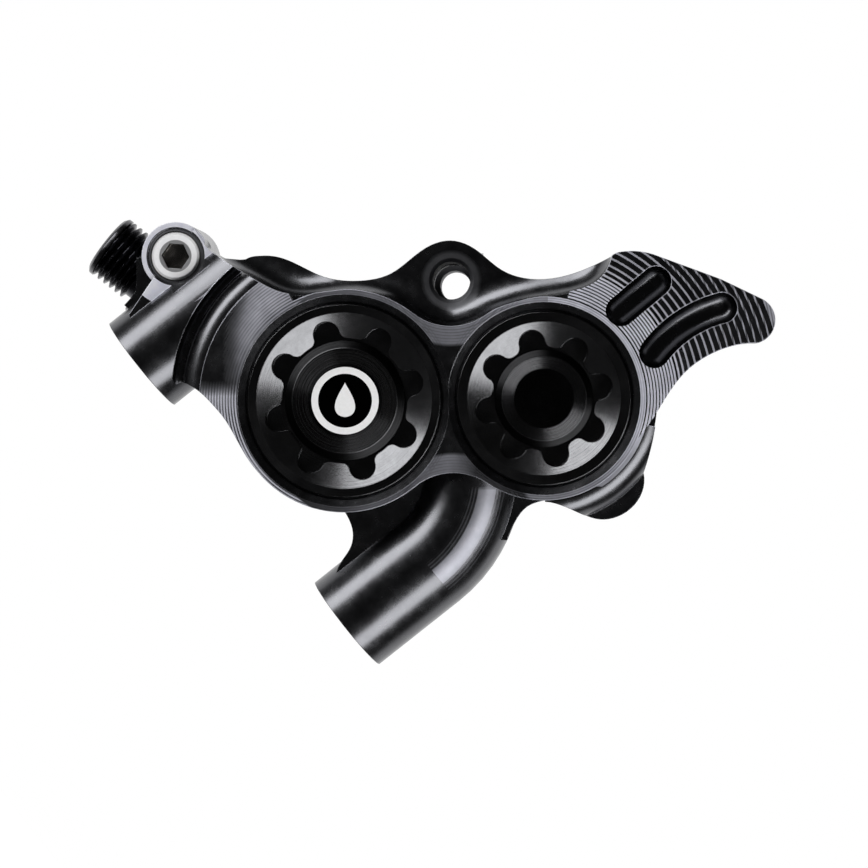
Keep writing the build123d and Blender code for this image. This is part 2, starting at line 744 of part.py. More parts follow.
# One-piece body
with BuildPart() as caliper_body:
    # Block that spans the rotor, with the ears and the two bridge arms, and the lobe on its near half
    with BuildSketch(facing(far_block_y)):
        add(block_outline(side_shares))
    extrude(amount=far_block_y - lobe_y)
    with BuildSketch(facing(cavity_near_y)):
        add(block_outline(lobe_shares))
    extrude(amount=cavity_near_y - lobe_y)
    # Floor of the arm to the left post and the shoulder behind the bleed boss
    with BuildSketch(facing(boss_radius)):
        add(arm_outline())
    extrude(amount=boss_radius - arm_floor_y)
    # Plateau round the two bores, with the raised part of the arm and the fin
    with BuildSketch(facing(lobe_y + overrun)):
        add(bore_outline(large_rim_radius, small_rim_radius))
    extrude(amount=lobe_y + overrun - face_y)
    with BuildSketch(facing(lobe_y + overrun)):
        add(arm_outline())
        Circle(arm_step_radius + arm_ball_radius, mode=Mode.INTERSECT)
    extrude(amount=lobe_y + overrun - face_y)
    with BuildSketch(facing(fin_back_y)):
        with BuildLine():
            top_line = Spline([at(share) for share in fin_top_shares[:-1]])
            slope_line = Line(top_line @ 1, at(fin_top_shares[-1]))
            Polyline(slope_line @ 1, at(fin_tip_shares[0]))
            tip_line = ThreePointArc(at(fin_tip_shares[0]), at(fin_tip_shares[1]), at(fin_tip_shares[2]))
            under_line = Spline([tip_line @ 1] + [at(share) for share in fin_under_shares])
            Polyline(under_line @ 1, (bore_spacing, 0), at(fin_root_share), top_line @ 0)
        make_face()
    extrude(amount=fin_back_y - face_y)
    add(ridge_cutter.part, mode=Mode.SUBTRACT)
    add(pocket_cutter.part, mode=Mode.SUBTRACT)
    add(lobe_corner.part)
    add(left_post.part)
    add(arm_cutter.part, mode=Mode.SUBTRACT)
    # Shoulder, bleed boss and hose port
    with BuildSketch(facing(shoulder_back_y)):
        with BuildLine():
            Polyline([at(share) for share in shoulder_shares], close=True)
        make_face()
    extrude(amount=shoulder_back_y - shoulder_y)
    with BuildSketch(facing(shoulder_back_y)):
        with Locations((bleed_u, bleed_v)):
            Circle(bleed_boss_radius)
    extrude(amount=shoulder_back_y - bleed_y)
    with BuildSketch(port_axis):
        Circle(port_boss_radius + port_nut_clearance)
    extrude(amount=connector_reach, mode=Mode.SUBTRACT)
    with BuildSketch(port_axis):
        Circle(port_boss_radius)
    extrude(amount=-port_boss_length)
    add(ear_cutter.part, mode=Mode.SUBTRACT)
    add(right_post.part)
    # Webs that round the elbow into the block
    with BuildSketch(facing(web_back_y)):
        with BuildLine():
            web_line = Spline([at(share) for share in web_shares])
            Polyline(web_line @ 1, (bore_spacing / 2, 0), at(web_root_share), web_line @ 0)
        make_face()
    extrude(amount=web_back_y - web_y)
    with BuildSketch(facing(web_back_y)):
        with BuildLine():
            heel_line = Spline([at(share) for share in heel_shares])
            Polyline(heel_line @ 1, (bore_spacing, 0), at(web_root_share), heel_line @ 0)
        make_face()
    extrude(amount=web_back_y - web_y)
    # Far side: two closed domes over the inner pistons
    with BuildSketch(facing(far_dome_y)):
        add(bore_outline(large_dome_radius, small_dome_radius))
    extrude(amount=far_dome_y - rotor_plane_y)
    fillet(caliper_body.faces().sort_by(Axis.Y)[-1].edges(), dome_edge)

    # Pad cavity, rotor slot and the window over the pads' tabs
    with BuildSketch(facing(cavity_far_y)):
        with Locations(((cavity_left + cavity_right) / 2, cavity_top - cavity_height / 2)):
            RectangleRounded(cavity_right - cavity_left, cavity_height, cavity_corner)
    extrude(amount=cavity_width, mode=Mode.SUBTRACT)
    with BuildSketch(facing(rotor_plane_y + rotor_slot_width / 2)):
        with Locations((bore_spacing / 2, -axle_drop)):
            Circle(rotor_reach)
    extrude(amount=rotor_slot_width, mode=Mode.SUBTRACT)
    with BuildSketch(facing(cavity_far_y)):
        with Locations((pin_u, cavity_top)):
            RectangleRounded(window_width, window_height, window_corner)
    extrude(amount=cavity_width, mode=Mode.SUBTRACT)

    # Bores
    with BuildSketch(radial(0, 0)):
        add(near_bore(large_cap_radius, large_piston_radius))
    revolve(axis=bore_axis(0), mode=Mode.SUBTRACT)
    with BuildSketch(radial(bore_spacing, 0)):
        add(near_bore(small_cap_radius, small_piston_radius))
    revolve(axis=bore_axis(bore_spacing), mode=Mode.SUBTRACT)
    with BuildSketch(radial(0, 0)):
        add(far_bore(large_piston_radius))
    revolve(axis=bore_axis(0), mode=Mode.SUBTRACT)
    with BuildSketch(radial(bore_spacing, 0)):
        add(far_bore(small_piston_radius))
    revolve(axis=bore_axis(bore_spacing), mode=Mode.SUBTRACT)

    # Pad pin holes in both ears
    with BuildSketch(facing(far_block_y + overrun)):
        with Locations((pin_u, pin_v)):
            Circle(pin_far_radius)
    extrude(amount=far_block_y + 2 * overrun - cavity_far_y, mode=Mode.SUBTRACT)
    with BuildSketch(radial_at(pin_u, pin_v)):
        add(chamfered_hole(pin_ear_radius, pin_ear_chamfer, ear_y, cavity_near_y + overrun))
    revolve(axis=axis_at(pin_u, pin_v), mode=Mode.SUBTRACT)
    # Bleed hole with its countersink
    with BuildSketch(radial_at(bleed_u, bleed_v)):
        add(chamfered_hole(bleed_hole_radius, bleed_countersink, bleed_y, bleed_seat_y))
    revolve(axis=axis_at(bleed_u, bleed_v), mode=Mode.SUBTRACT)
    # Hose port: seat of the flange, seat of the seal ring, stem hole
    with BuildSketch(port_axis):
        Circle(connector_flange_radius + connector_clearance)
    extrude(amount=-connector_flange, mode=Mode.SUBTRACT)
    with BuildSketch(port_axis):
        Circle(connector_seal_seat_radius)
    extrude(amount=-(connector_flange + connector_seal_seat_depth), mode=Mode.SUBTRACT)
    with BuildSketch(port_axis):
        Circle(connector_stem_radius + connector_clearance)
    extrude(amount=-(connector_flange + connector_stem + chamber_gap), mode=Mode.SUBTRACT)
    # Threaded holes in the two posts
    with BuildSketch(Plane.XY):
        with Locations((left_boss_x, 0), (right_boss_x, 0)):
            Circle(mount_thread_radius)
    extrude(amount=mount_thread_depth, mode=Mode.SUBTRACT)
    with BuildSketch(Plane.XY.offset(-overrun)):
        with Locations((left_boss_x, 0), (right_boss_x, 0)):
            Circle(mount_thread_radius + boss_edge + overrun)
    extrude(amount=boss_edge + overrun, taper=mount_chamfer_angle, mode=Mode.SUBTRACT)

caliper_body.part.label = "caliper_body"
export_step(caliper_body.part, "parts/caliper_body.step")


# Bore caps: threaded discs with an eight-lobed tool recess round a raised boss
with BuildPart() as bore_cap_large:
    with BuildSketch(radial(0, 0)):
        add(cap_section(
            large_cap_radius - cap_clearance, large_cap_flat_radius, large_cap_valley_radius,
            large_cap_boss_radius, large_cap_lip_radius, large_cap_centre_radius, cap_centre_drop,
        ))
    revolve(axis=bore_axis(0))
    with BuildSketch(cap_plane(0, large_cap_lobe_angle)):
        add(recess_outline(large_cap_valley_radius, large_cap_boss_radius, large_cap_lobe_distance))
    extrude(amount=cap_recess_depth + overrun, mode=Mode.SUBTRACT)

bore_cap_large.part.label = "bore_cap_large"
export_step(bore_cap_large.part, "parts/bore_cap_large.step")

with BuildPart() as bore_cap_small:
    with BuildSketch(radial(bore_spacing, 0)):
        add(cap_section(
            small_cap_radius - cap_clearance, small_cap_flat_radius, small_cap_valley_radius,
            small_cap_boss_radius, small_cap_lip_radius, small_cap_centre_radius, 0,
        ))
    revolve(axis=bore_axis(bore_spacing))
    with BuildSketch(cap_plane(bore_spacing, small_cap_lobe_angle)):
        add(recess_outline(small_cap_valley_radius, small_cap_boss_radius, small_cap_lobe_distance))
    extrude(amount=cap_recess_depth + overrun, mode=Mode.SUBTRACT)

bore_cap_small.part.label = "bore_cap_small"
export_step(bore_cap_small.part, "parts/bore_cap_small.step")


# Seal rings under the caps
with BuildPart() as cap_seal_large:
    with BuildSketch(radial(0, 0)):
        add(cap_seal_section(large_cap_radius))
    revolve(axis=bore_axis(0))

cap_seal_large.part.label = "cap_seal_large"
export_step(cap_seal_large.part, "parts/cap_seal_large.step")

with BuildPart() as cap_seal_small:
    with BuildSketch(radial(bore_spacing, 0)):
        add(cap_seal_section(small_cap_radius))
    revolve(axis=bore_axis(bore_spacing))

cap_seal_small.part.label = "cap_seal_small"
export_step(cap_seal_small.part, "parts/cap_seal_small.step")

with BuildPart() as piston_outer_large:
    with BuildSketch(radial(0, 0)):
        add(piston_section(large_piston_radius, outer_back_y - piston_length, outer_back_y, 1))
    revolve(axis=bore_axis(0))

piston_outer_large.part.label = "piston_outer_large"
export_step(piston_outer_large.part, "parts/piston_outer_large.step")

with BuildPart() as piston_outer_small:
    with BuildSketch(radial(bore_spacing, 0)):
        add(piston_section(small_piston_radius, outer_back_y - piston_length, outer_back_y, 1))
    revolve(axis=bore_axis(bore_spacing))

piston_outer_small.part.label = "piston_outer_small"
export_step(piston_outer_small.part, "parts/piston_outer_small.step")

with BuildPart() as piston_inner_large:
    with BuildSketch(radial(0, 0)):
        add(piston_section(large_piston_radius, inner_back_y + piston_length, inner_back_y, -1))
    revolve(axis=bore_axis(0))

piston_inner_large.part.label = "piston_inner_large"
export_step(piston_inner_large.part, "parts/piston_inner_large.step")

with BuildPart() as piston_inner_small:
    with BuildSketch(radial(bore_spacing, 0)):
        add(piston_section(small_piston_radius, inner_back_y + piston_length, inner_back_y, -1))
    revolve(axis=bore_axis(bore_spacing))

piston_inner_small.part.label = "piston_inner_small"
export_step(piston_inner_small.part, "parts/piston_inner_small.step")

with BuildPart() as piston_seal_outer_large:
    with BuildSketch(radial(0, 0)):
        add(piston_seal_section(large_piston_radius, cavity_near_y - seal_setback - seal_width))
    revolve(axis=bore_axis(0))

piston_seal_outer_large.part.label = "piston_seal_outer_large"
export_step(piston_seal_outer_large.part, "parts/piston_seal_outer_large.step")

with BuildPart() as piston_seal_outer_small:
    with BuildSketch(radial(bore_spacing, 0)):
        add(piston_seal_section(small_piston_radius, cavity_near_y - seal_setback - seal_width))
    revolve(axis=bore_axis(bore_spacing))

piston_seal_outer_small.part.label = "piston_seal_outer_small"
export_step(piston_seal_outer_small.part, "parts/piston_seal_outer_small.step")

with BuildPart() as piston_seal_inner_large:
    with BuildSketch(radial(0, 0)):
        add(piston_seal_section(large_piston_radius, cavity_far_y + seal_setback))
    revolve(axis=bore_axis(0))

piston_seal_inner_large.part.label = "piston_seal_inner_large"
export_step(piston_seal_inner_large.part, "parts/piston_seal_inner_large.step")

with BuildPart() as piston_seal_inner_small:
    with BuildSketch(radial(bore_spacing, 0)):
        add(piston_seal_section(small_piston_radius, cavity_far_y + seal_setback))
    revolve(axis=bore_axis(bore_spacing))

piston_seal_inner_small.part.label = "piston_seal_inner_small"
export_step(piston_seal_inner_small.part, "parts/piston_seal_inner_small.step")


# Pads: steel backplates with a pin tab, and the linings bonded to them
with BuildPart() as pad_backplate_outer:
    with BuildSketch(facing(outer_back_y + backplate_thickness)):
        add(backplate_outline())
    extrude(amount=backplate_thickness)

pad_backplate_outer.part.label = "pad_backplate_outer"
export_step(pad_backplate_outer.part, "parts/pad_backplate_outer.step")

with BuildPart() as pad_lining_outer:
    with BuildSketch(facing(rotor_plane_y - pad_half_gap)):
        add(lining_outline())
    extrude(amount=lining_thickness)

pad_lining_outer.part.label = "pad_lining_outer"
export_step(pad_lining_outer.part, "parts/pad_lining_outer.step")

with BuildPart() as pad_backplate_inner:
    with BuildSketch(facing(inner_back_y)):
        add(backplate_outline())
    extrude(amount=backplate_thickness)

pad_backplate_inner.part.label = "pad_backplate_inner"
export_step(pad_backplate_inner.part, "parts/pad_backplate_inner.step")

with BuildPart() as pad_lining_inner:
    with BuildSketch(facing(inner_back_y - backplate_thickness)):
        add(lining_outline())
    extrude(amount=lining_thickness)

pad_lining_inner.part.label = "pad_lining_inner"
export_step(pad_lining_inner.part, "parts/pad_lining_inner.step")


# Pad spring: a folded strip whose two legs stand against the inner faces of the backplates
with BuildPart() as pad_spring:
    with BuildSketch(facing(spring_far_y)):
        with Locations((pin_u, (spring_low_v + spring_top_v) / 2)):
            Rectangle(spring_waist, spring_top_v - spring_low_v)
        with Locations((pin_u, spring_low_v + spring_leg_width / 2)):
            Rectangle(2 * spring_leg_reach, spring_leg_width)
    extrude(amount=spring_far_y - spring_near_y)
    with BuildSketch(facing(spring_far_y - spring_thickness)):
        with Locations((pin_u, (spring_inside_low_v + spring_inside_top_v) / 2)):
            Rectangle(2 * (spring_leg_reach + overrun), spring_inside_top_v - spring_inside_low_v)
    extrude(amount=spring_far_y - spring_near_y - 2 * spring_thickness, mode=Mode.SUBTRACT)
    with BuildSketch(facing(spring_far_y + overrun)):
        with Locations((pin_u, pin_v)):
            Circle(pin_ear_radius + pin_pad_clearance)
    extrude(amount=spring_far_y - spring_near_y + 2 * overrun, mode=Mode.SUBTRACT)

pad_spring.part.label = "pad_spring"
export_step(pad_spring.part, "parts/pad_spring.step")


# Bleed screw with its hex socket, and the seal ring round its nose
with BuildPart() as bleed_screw:
    with BuildSketch(radial_at(bleed_u, bleed_v)):
        with BuildLine():
            Polyline(
                (0, bleed_screw_y),
                (bleed_screw_radius - bleed_screw_chamfer, bleed_screw_y),
                (bleed_screw_radius, bleed_screw_y + bleed_screw_chamfer),
                (bleed_screw_radius, bleed_shoulder_y),
                (bleed_nose_radius, bleed_shoulder_y),
                (bleed_nose_radius, bleed_seat_y - seal_clearance),
                (0, bleed_seat_y - seal_clearance),
                close=True,
            )
        make_face()
    revolve(axis=axis_at(bleed_u, bleed_v))
    with BuildSketch(facing(bleed_screw_y + bleed_hex_depth)):
        with Locations((bleed_u, bleed_v)):
            RegularPolygon(bleed_hex / 2, side_count=6, major_radius=False, rotation=bleed_hex_turn)
    extrude(amount=bleed_hex_depth + overrun, mode=Mode.SUBTRACT)

bleed_screw.part.label = "bleed_screw"
export_step(bleed_screw.part, "parts/bleed_screw.step")

with BuildPart() as bleed_screw_seal:
    with BuildSketch(radial_at(bleed_u, bleed_v)):
        with Locations((bleed_seal_radius, bleed_shoulder_y + bleed_seal_section_radius)):
            Circle(bleed_seal_section_radius)
    revolve(axis=axis_at(bleed_u, bleed_v))

bleed_screw_seal.part.label = "bleed_screw_seal"
export_step(bleed_screw_seal.part, "parts/bleed_screw_seal.step")


# Hose connector: threaded spigot outside the port, flange in its seat, stem inside
with BuildPart() as hose_connector:
    with BuildSketch(port_axis):
        Circle(connector_core_radius)
    extrude(amount=connector_relief)
    with BuildSketch(port_axis.offset(connector_relief)):
        Circle(connector_thread_radius)
    extrude(amount=connector_reach - connector_relief)
    chamfer(hose_connector.faces().sort_by(Axis.X)[0].edges(), connector_chamfer)
    with BuildSketch(port_axis):
        Circle(connector_flange_radius)
    extrude(amount=-connector_flange)
    with BuildSketch(port_axis.offset(-connector_flange)):
        Circle(connector_stem_radius)
    extrude(amount=-connector_stem)
    with BuildSketch(port_axis.offset(connector_reach)):
        Circle(connector_mouth_radius)
    mouth_depth = connector_mouth_radius - connector_bore_radius
    extrude(amount=-mouth_depth, taper=mount_chamfer_angle, mode=Mode.SUBTRACT)
    with BuildSketch(port_axis.offset(connector_bore_floor)):
        Circle(connector_bore_radius)
    extrude(amount=connector_reach, mode=Mode.SUBTRACT)
    with BuildSketch(port_axis.offset(connector_reach)):
        Circle(connector_drill_radius)
    extrude(amount=-(connector_reach + connector_flange + connector_stem + overrun), mode=Mode.SUBTRACT)

hose_connector.part.label = "hose_connector"
export_step(hose_connector.part, "parts/hose_connector.step")

with BuildPart() as connector_seal:
    with BuildSketch(port_radial):
        with Locations((connector_seal_radius, -(connector_flange + connector_seal_section_radius))):
            Circle(connector_seal_section_radius)
    revolve(axis=Axis(origin=port_axis.origin, direction=port_axis.z_dir))

connector_seal.part.label = "connector_seal"
export_step(connector_seal.part, "parts/connector_seal.step")
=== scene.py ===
import json
import math
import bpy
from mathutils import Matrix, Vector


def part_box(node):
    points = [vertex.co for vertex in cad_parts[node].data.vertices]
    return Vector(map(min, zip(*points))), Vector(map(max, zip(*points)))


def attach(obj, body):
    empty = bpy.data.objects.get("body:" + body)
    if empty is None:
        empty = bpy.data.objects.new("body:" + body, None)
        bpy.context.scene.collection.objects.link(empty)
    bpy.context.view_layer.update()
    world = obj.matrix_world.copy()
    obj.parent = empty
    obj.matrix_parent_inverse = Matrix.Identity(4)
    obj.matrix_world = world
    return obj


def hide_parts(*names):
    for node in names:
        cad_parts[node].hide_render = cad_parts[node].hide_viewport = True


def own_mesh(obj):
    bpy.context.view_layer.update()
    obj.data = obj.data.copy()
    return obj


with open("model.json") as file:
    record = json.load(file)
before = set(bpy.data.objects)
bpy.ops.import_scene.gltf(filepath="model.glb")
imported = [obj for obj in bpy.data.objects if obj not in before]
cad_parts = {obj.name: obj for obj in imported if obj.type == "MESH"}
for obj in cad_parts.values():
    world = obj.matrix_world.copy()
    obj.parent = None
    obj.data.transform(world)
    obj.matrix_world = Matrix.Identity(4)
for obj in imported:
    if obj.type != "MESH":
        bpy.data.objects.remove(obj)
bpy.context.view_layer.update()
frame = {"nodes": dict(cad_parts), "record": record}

from types import SimpleNamespace

import bmesh
import bpy
from mathutils import Matrix, Vector

cad_nodes = frame["nodes"]
mounts = {mount["name"]: mount for mount in frame["record"]["mounts"]}
mm = 0.001


# Places in the row frame, in metres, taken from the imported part

def axis_of(node):
    """Where the axis along Y of a turned CAD piece crosses the plane y = 0."""
    low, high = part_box(node)
    return Vector(((low.x + high.x) / 2, 0.0, (low.z + high.z) / 2))


LARGE = axis_of("bore_cap_large")
SMALL = axis_of("bore_cap_small")
BLEED = axis_of("bleed_screw")
PIN = Vector(mounts["pad_pin_hole_outer"]["pos_m"])
# The hose thread's mount point lies this far outside the mouth of its port, in millimetres
MOUNT_OUT = 3.0
PORT_OUT = Vector(mounts["hose_thread"]["axis"])
PORT = Vector(mounts["hose_thread"]["pos_m"]) - PORT_OUT * (MOUNT_OUT * mm)
# Along the line from the large bore to the small one, and square to it
U = (SMALL - LARGE).normalized()
V = Vector((-U.z, 0.0, U.x))

# Sizes in millimetres, as in the part's source
BORES = (SMALL - LARGE).length / mm
LARGE_RIM = 11.27
SMALL_RIM = 10.27
NECK = 6.1
NECK_U = ((LARGE_RIM + NECK) ** 2 - (SMALL_RIM + NECK) ** 2 + BORES ** 2) / (2 * BORES)
NECK_V = math.sqrt((LARGE_RIM + NECK) ** 2 - NECK_U ** 2)
NECKS = [LARGE + U * (NECK_U * mm) + V * (sign * NECK_V * mm) for sign in (1, -1)]
POST_X = mounts["mounting_bolts"]["dims"]["spacing_x_mm"] / 2
ELBOW_RADIUS = 11.8
ELBOW_Z = 10.5
ELBOW = Vector((POST_X - ELBOW_RADIUS, 0.0, ELBOW_Z)) * mm

# Black anodised aluminium as it mirrors head on, and the bare metal of the faces cut after anodising
BLACK = (0.100, 0.101, 0.108)
BLACK_WORN = (0.126, 0.127, 0.135)
BARE = (0.25, 0.252, 0.285)
BARE_LIGHT = (0.32, 0.322, 0.36)
# Between these two values lies most of a noise
NOISE_LOW, NOISE_HIGH = 0.3, 0.7


class Graph:
    """A material's nodes, made by short calls that each give the socket of their result."""

    def __init__(self, name):
        self.material = bpy.data.materials.new(name)
        self.material.use_nodes = True
        self.tree = self.material.node_tree
        self.tree.nodes.clear()
        self.output = self.tree.nodes.new("ShaderNodeOutputMaterial")

    def node(self, kind, **values):
        node = self.tree.nodes.new(kind)
        for key, value in values.items():
            setattr(node, key, value)
        return node

    def put(self, socket, value):
        if isinstance(value, bpy.types.NodeSocket):
            self.tree.links.new(value, socket)
        else:
            socket.default_value = value

    def math(self, operation, first, second=None):
        node = self.node("ShaderNodeMath", operation=operation)
        self.put(node.inputs[0], first)
        if second is not None:
            self.put(node.inputs[1], second)
        return node.outputs[0]

    def chain(self, operation, values):
        result = values[0]
        for value in values[1:]:
            result = self.math(operation, result, value)
        return result

    def times(self, *values):
        return self.chain("MULTIPLY", values)

    def most(self, *values):
        return self.chain("MAXIMUM", values)

    def least(self, *values):
        return self.chain("MINIMUM", values)

    def minus(self, first, second):
        return self.math("SUBTRACT", first, second)

    def above(self, value, limit):
        return self.math("GREATER_THAN", value, limit)

    def below(self, value, limit):
        return self.math("LESS_THAN", value, limit)

    def waves(self, value, pitch):
        return self.math("SINE", self.times(value, 2 * math.pi / pitch))

    def remap(self, value, start, end, first, last):
        node = self.node("ShaderNodeMapRange", clamp=True)
        self.put(node.inputs["Value"], value)
        for name, number in (("From Min", start), ("From Max", end), ("To Min", first), ("To Max", last)):
            node.inputs[name].default_value = number
        return node.outputs["Result"]

    def rise(self, value, start, end, top=1.0):
        """Zero up to start and top from end on. The end may be the lower one."""
        return self.remap(value, start, end, 0.0, top)

    def fall(self, value, start, end):
        """The opposite of rise."""
        return self.remap(value, start, end, 1.0, 0.0)

    def spread(self, noise, low, high):
        """The middle of a noise, stretched from low to high."""
        return self.remap(noise, NOISE_LOW, NOISE_HIGH, low, high)

    def tones(self, noise, dark, light, light_at=NOISE_HIGH):
        node = self.node("ShaderNodeValToRGB")
        self.put(node.inputs[0], noise)
        for element, place, tone in zip(node.color_ramp.elements, (NOISE_LOW, light_at), (dark, light)):
            element.position = place
            element.color = (*tone, 1.0)
        return node.outputs["Color"]

    def vector(self, operation, first, second=None):
        node = self.node("ShaderNodeVectorMath", operation=operation)
        self.put(node.inputs[0], first)
        if second is not None:
            self.put(node.inputs[1], second)
        return node.outputs["Value" if operation in ("LENGTH", "DOT_PRODUCT") else "Vector"]

    def scaled(self, vector, factor):
        node = self.node("ShaderNodeVectorMath", operation="SCALE")
        self.put(node.inputs[0], vector)
        self.put(node.inputs["Scale"], factor)
        return node.outputs["Vector"]

    def place(self):
        return self.node("ShaderNodeTexCoord").outputs["Object"]

    def part(self, vector, axis):
        node = self.node("ShaderNodeSeparateXYZ")
        self.put(node.inputs[0], vector)
        return node.outputs[axis]

    def distance_along(self, origin, direction):
        """Distance from a point along a direction, in millimetres."""
        offset = self.vector("SUBTRACT", self.place(), origin)
        return self.times(self.vector("DOT_PRODUCT", offset, direction), 1 / mm)

    def radius(self, centre):
        """Distance from an axis along Y through a point, in millimetres."""
        offset = self.vector("SUBTRACT", self.place(), centre)
        return self.vector("LENGTH", self.vector("MULTIPLY", offset, (1 / mm, 0.0, 1 / mm)))

    def noise(self, vector, scale, detail=3.0, rough=0.5):
        node = self.node("ShaderNodeTexNoise")
        self.put(node.inputs["Vector"], vector)
        node.inputs["Scale"].default_value = scale
        node.inputs["Detail"].default_value = detail
        node.inputs["Roughness"].default_value = rough
        return node.outputs["Fac"]

    def bump(self, height, distance, strength=1.0, normal=None):
        node = self.node("ShaderNodeBump")
        node.inputs["Strength"].default_value = strength
        node.inputs["Distance"].default_value = distance
        self.put(node.inputs["Height"], height)
        if normal is not None:
            self.put(node.inputs["Normal"], normal)
        return node.outputs["Normal"]

    def bevel(self, radius, samples=4):
        node = self.node("ShaderNodeBevel", samples=samples)
        node.inputs["Radius"].default_value = radius
        return node.outputs["Normal"]

    def face_normal(self):
        return self.node("ShaderNodeNewGeometry").outputs["True Normal"]

    def mix(self, share, first, second):
        """Mix of two colours, each a socket or a tuple of red, green and blue."""
        node = self.node("ShaderNodeMix", data_type="RGBA")
        self.put(node.inputs[0], share)
        for socket, tone in zip(node.inputs[6:8], (first, second)):
            self.put(socket, (*tone, 1.0) if isinstance(tone, tuple) else tone)
        return node.outputs[2]

    def blend(self, share, first, second):
        """Mix of two numbers."""
        node = self.node("ShaderNodeMix", data_type="FLOAT")
        for socket, value in zip(node.inputs[0:1] + node.inputs[2:4], (share, first, second)):
            self.put(socket, value)
        return node.outputs[0]

    def finish(self, color, metallic, roughness, normal=None, **more):
        node = self.node("ShaderNodeBsdfPrincipled")
        self.put(node.inputs["Base Color"], color)
        self.put(node.inputs["Metallic"], metallic)
        self.put(node.inputs["Roughness"], roughness)
        if normal is not None:
            self.put(node.inputs["Normal"], normal)
        for key, value in more.items():
            self.put(node.inputs[key], value)
        self.put(self.output.inputs["Surface"], node.outputs[0])
        return self.material


# The milled body. Its places and masks are in millimetres, and y is lower towards the camera.
# A pair of places is where a mask starts to change and where it has changed

def body_places(g):
    """Where a point of the body lies: along and across the line of the bores, and from each axis."""
    at = SimpleNamespace(point=g.place())
    at.y = g.times(g.part(at.point, 1), 1 / mm)
    at.along = g.distance_along(LARGE, U)
    at.across = g.distance_along(LARGE, V)
    at.from_large = g.radius(LARGE)
    at.from_small = g.radius(SMALL)
    at.from_bleed = g.radius(BLEED)
    at.from_necks = [g.radius(centre) for centre in NECKS]
    # Distance from the nearer bore's axis, counted so that both rims end at the large one's radius
    at.from_bores = g.least(at.from_large, g.math("ADD", at.from_small, LARGE_RIM - SMALL_RIM))
    rim_edge = LARGE_RIM - 0.4
    at.past_rims = g.above(at.from_bores, rim_edge)
    fin_start, fin_low, fin_y = BORES + 0.5, -9.0, -2.75
    at.on_fin = g.times(g.above(at.along, fin_start), g.above(at.across, fin_low), g.below(at.y, fin_y))
    boss_edge, boss_hole, boss_y = 5.2, 2.95, -3.1
    at.off_boss = g.above(at.from_bleed, boss_edge)
    on_ring = g.times(g.below(at.from_bleed, boss_edge), g.above(at.from_bleed, boss_hole))
    at.on_boss = g.times(on_ring, g.below(at.y, boss_y))
    # The tool that went round the large bore on the arm also cut the left part of the rim's outer edge
    rim_left = (-5.0, -3.0)
    arm_start = g.remap(at.along, *rim_left, LARGE_RIM - 0.65, LARGE_RIM + 0.05)
    at.on_arm = g.rise(g.minus(at.from_large, arm_start), 0.0, 0.18)
    at.arm_left = g.times(at.on_arm, g.below(at.along, 0.0))
    arm_low_end = (2.2, 0.6)
    at.arm_low = g.rise(at.across, *arm_low_end)
    # Along the arm from its step, which leans to the right near the top
    lean_places, lean = (7.0, 12.0), 1.4
    at.from_step = g.minus(at.along, g.rise(at.across, *lean_places, lean))
    return at


def bare_faces(g, at, facing):
    """Faces that the last cut left bare: the plateau, the arm, the fin's ridge tops and the bleed boss.
    Painted shade dims the lower neck and fades the bare metal towards the arm's step.
    """
    plateau_y, flat_facing = (-5.50, -5.60), (0.976, 0.982)
    large_cap_edge, small_cap_edge = (10.20, 10.30), (9.45, 9.55)
    off_caps = g.times(g.rise(at.from_large, *large_cap_edge), g.rise(at.from_small, *small_cap_edge))
    # Between the bores only the two necks are bare
    near_neck = g.least(*at.from_necks)
    off_middle = g.minus(at.along, NECK_U)
    neck_width, between_bores = (NECK + 1.7, NECK + 2.1), (4.6, 5.6)
    off_web = g.most(g.fall(near_neck, *neck_width), g.rise(g.math("ABSOLUTE", off_middle), *between_bores))
    # The left rim is black, but for its top and its outer edge
    left_rim, rim_top = (-8.0, 2.0), (5.0, 7.5)
    off_left = g.most(g.rise(at.along, *left_rim), g.rise(at.across, *rim_top), at.on_arm)
    # Painted shade: the right half of the lower neck is dimmer
    low, dim_width, right_half, dim_share = (-2.0, -4.0), (NECK + 2.0, NECK + 2.4), (-0.5, 2.5), 0.75
    neck_painted_shade = g.times(g.rise(at.across, *low, dim_share), g.fall(near_neck, *dim_width))
    low_neck = g.blend(g.rise(off_middle, *right_half), 1.0, g.minus(1.0, neck_painted_shade))
    plateau = g.times(g.rise(at.y, *plateau_y), off_caps, off_web, off_left, low_neck)
    flat = g.times(g.most(plateau, at.on_fin, at.on_boss), g.rise(facing, *flat_facing))
    # Painted shade: the bare metal fades out towards the arm's step, but not at its lower end
    step_painted_shade = (-12.2, -10.4)
    cut_and_step_shade = g.most(g.rise(at.from_step, *step_painted_shade), at.arm_low, at.on_boss)
    return g.times(flat, g.blend(at.arm_left, 1.0, cut_and_step_shade))


def painted_edge_highlights(g, at, true, facing):
    """Painted highlight: a thin line in the bare metal's tone along the sharp edges of the fin, the rims and
    the arm's top.
    """
    width, sharp_turn, near_facing = 0.22 * mm, (0.95, 0.90), (0.75, 0.85)
    rim_y, arm_y, arm_top = -5.5, -3.0, (8.5, 9.0)
    turn = g.vector("DOT_PRODUCT", g.bevel(width, 8), true)
    edge_highlight = g.times(g.rise(turn, *sharp_turn), g.rise(facing, *near_facing))
    rims = g.times(at.past_rims, g.below(at.y, rim_y))
    top = g.times(g.rise(at.across, *arm_top), g.below(at.along, 0.0), g.below(at.y, arm_y))
    return g.times(edge_highlight, g.most(top, at.on_fin, rims))


